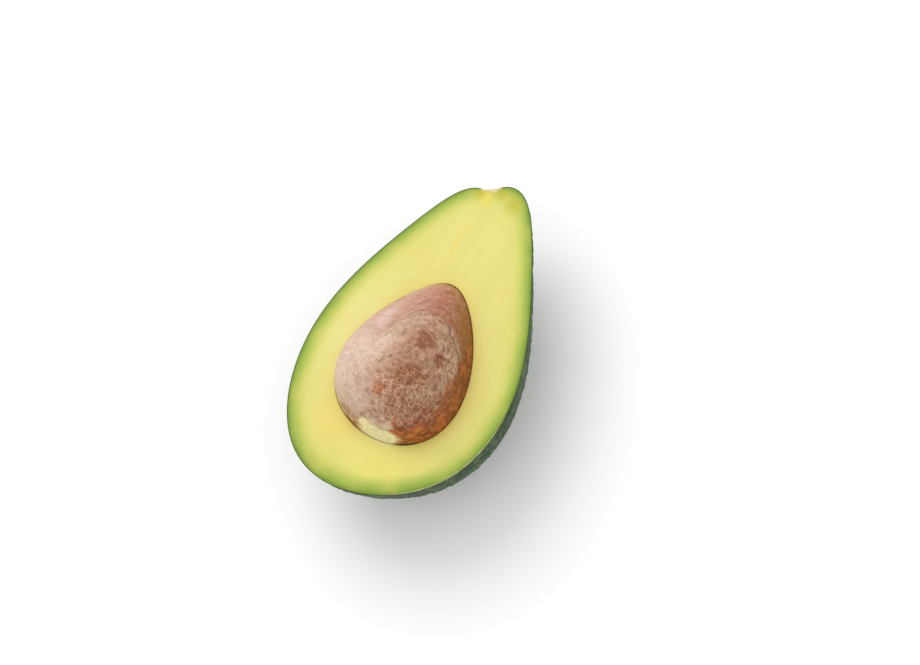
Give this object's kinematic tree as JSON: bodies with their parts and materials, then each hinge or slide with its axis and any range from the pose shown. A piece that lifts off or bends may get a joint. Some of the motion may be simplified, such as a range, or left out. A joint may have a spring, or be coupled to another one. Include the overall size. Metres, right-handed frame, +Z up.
{
  "type": "halved avocado with seed",
  "caption": "Half of a fresh avocado, cut lengthwise: thin green skin, smooth yellow-green flesh and an egg-shaped brown seed standing in its hollow.",
  "frame": {"origin": "middle of the small flat spot under the back of the half, where it rests", "axes": "+X along the fruit, from the blossom end to the stem end; +Y across the cut face; +Z up, square to the cut face"},
  "size_m": [0.1122, 0.0721, 0.056],
  "materials": {
    "skin": "satin",
    "flesh": "moist satin",
    "seed": "matte"
  },
  "bodies": {
    "root": {"skin": "skin", "flesh": "flesh", "seed": "seed"}
  },
  "joints": []
}
